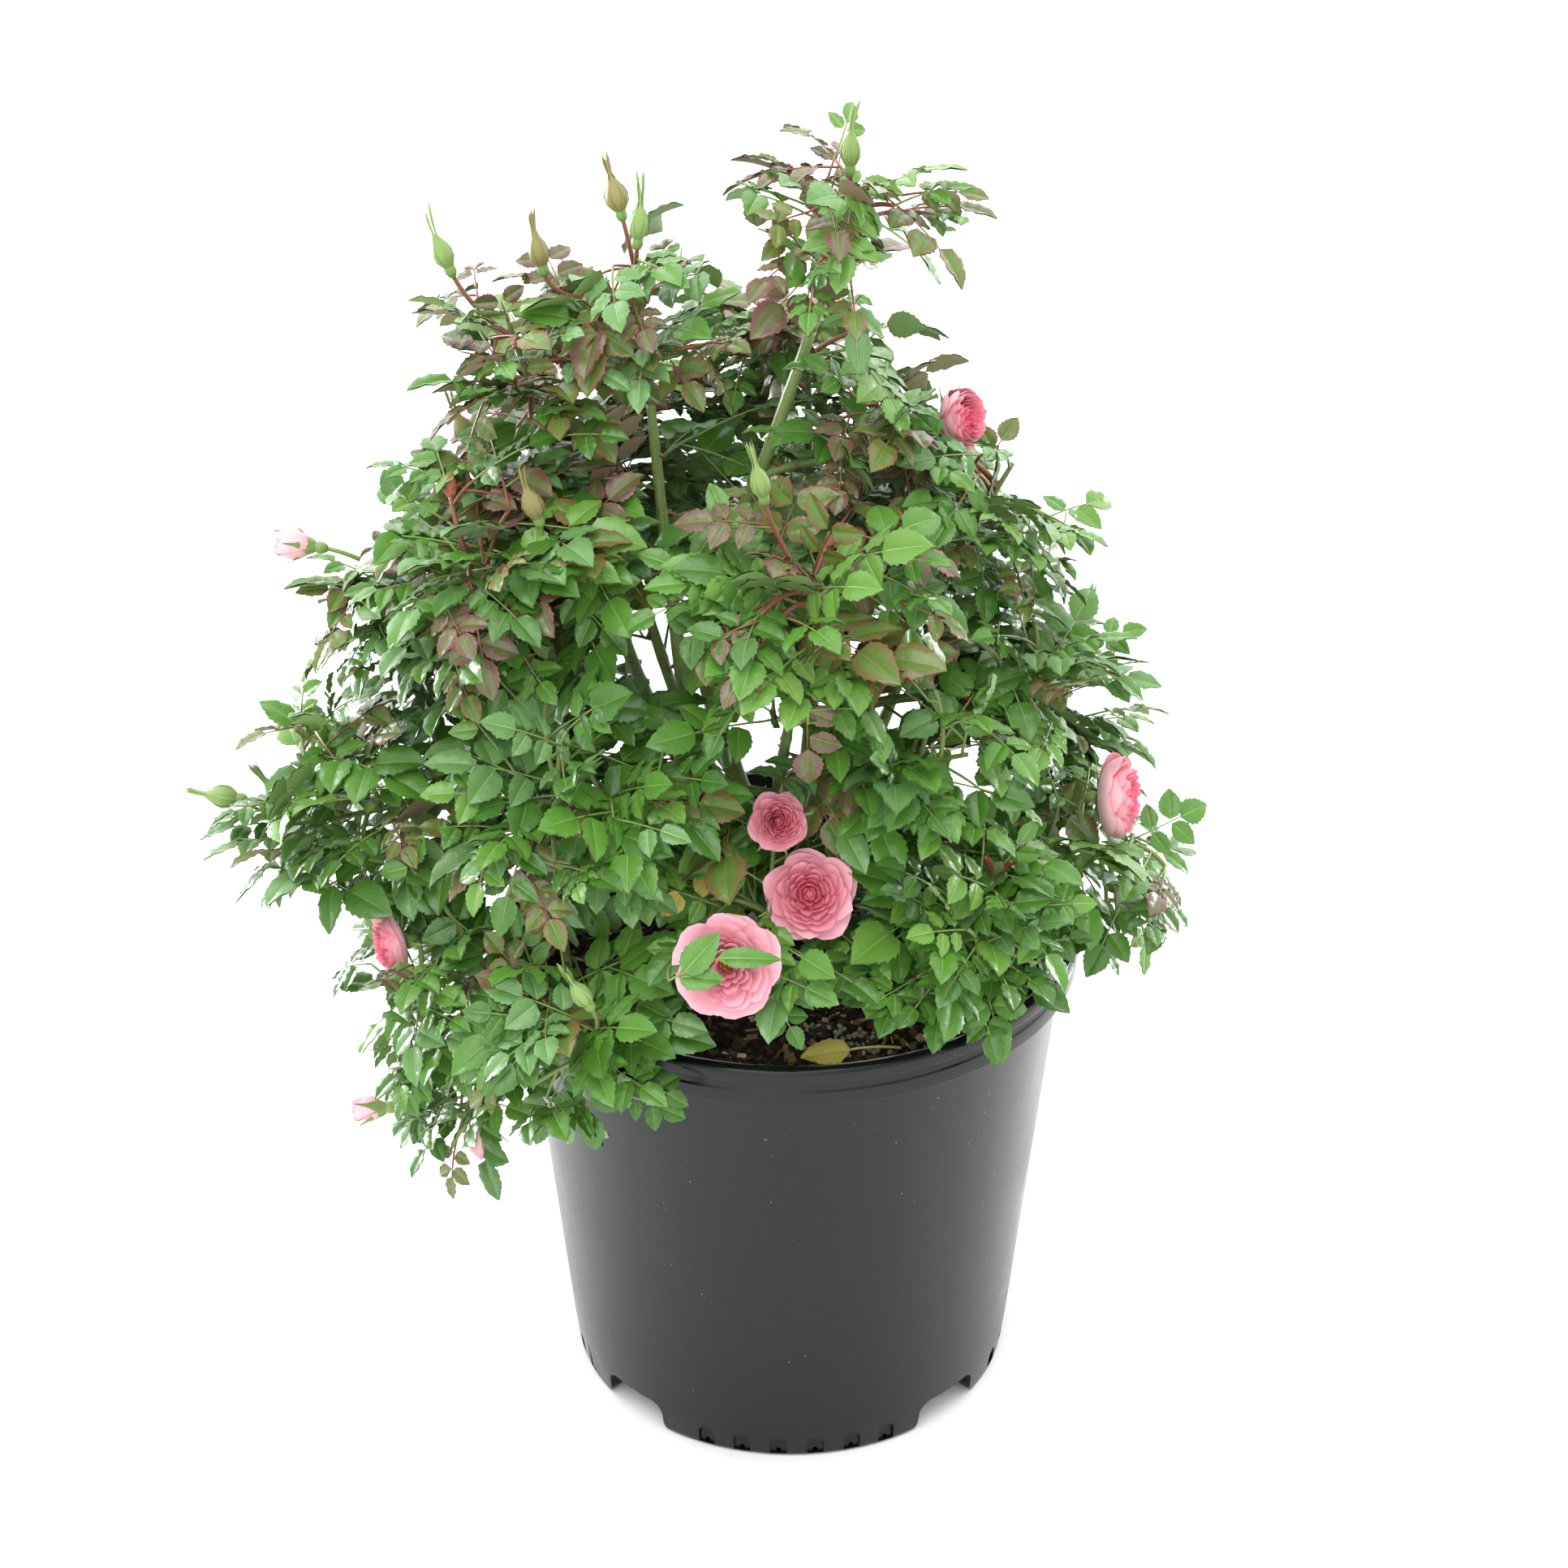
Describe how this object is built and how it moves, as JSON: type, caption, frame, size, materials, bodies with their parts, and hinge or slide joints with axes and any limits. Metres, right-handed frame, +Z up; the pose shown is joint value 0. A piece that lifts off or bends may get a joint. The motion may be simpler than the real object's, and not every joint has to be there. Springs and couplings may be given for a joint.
{
  "type": "potted rose bush",
  "caption": "Patio rose bush with thorny canes, toothed leaves, pink double blooms and pointed buds, growing in a black nursery pot.",
  "frame": {"origin": "centre of the pot's flat underside, on the ground", "axes": "+Z up, +X to the bush's right and +Y to its back as seen from its front"},
  "size_m": [0.4837, 0.3649, 0.6363],
  "materials": {
    "pot_plastic": "satin black moulded polyethylene, a little scuffed",
    "bark_mix": "rough composted bark mix",
    "woody_stem": "old brown bark",
    "green_cane": "smooth green cane with brown thorns",
    "foliage": "satin green leaves with pink petals"
  },
  "bodies": {
    "root": {"back_cane": "green_cane", "back_crown": "foliage", "back_left_cane": "green_cane", "back_left_middle": "foliage", "back_left_skirt": "foliage", "back_left_skirt_bough": "green_cane", "back_middle": "foliage", "back_middle_bough": "green_cane", "back_right_cane": "green_cane", "back_right_middle": "foliage", "back_right_skirt": "foliage", "back_right_skirt_bough": "green_cane", "crown_shoulder_right": "foliage", "crown_shoulder_right_bough": "green_cane", "crown_top": "foliage", "crown_top_left": "foliage", "far_left_cane": "green_cane", "front_cane": "green_cane", "front_crown": "foliage", "front_left_middle": "foliage", "front_left_middle_bough": "green_cane", "front_left_skirt": "foliage", "front_left_skirt_bough": "green_cane", "front_right_middle": "foliage", "front_right_middle_bough": "green_cane", "front_right_skirt": "foliage", "front_right_skirt_bough": "green_cane", "front_skirt": "foliage", "left_cane": "green_cane", "left_flank": "foliage", "left_hanging_shoot": "foliage", "left_hanging_shoot_bough": "green_cane", "left_low_skirt": "foliage", "left_shoulder": "foliage", "left_shoulder_bough": "green_cane", "left_shoulder_top": "foliage", "left_skirt": "foliage", "left_skirt_bough": "green_cane", "low_front_cane": "green_cane", "low_left_cane": "green_cane", "low_right_cane": "green_cane", "pot": "pot_plastic", "potting_mix": "bark_mix", "right_cane": "green_cane", "right_flank": "foliage", "right_flank_bough": "green_cane", "right_shoulder": "foliage", "right_skirt": "foliage", "root_collar": "woody_stem", "second_cane": "green_cane", "tall_cane": "green_cane"}
  },
  "joints": []
}
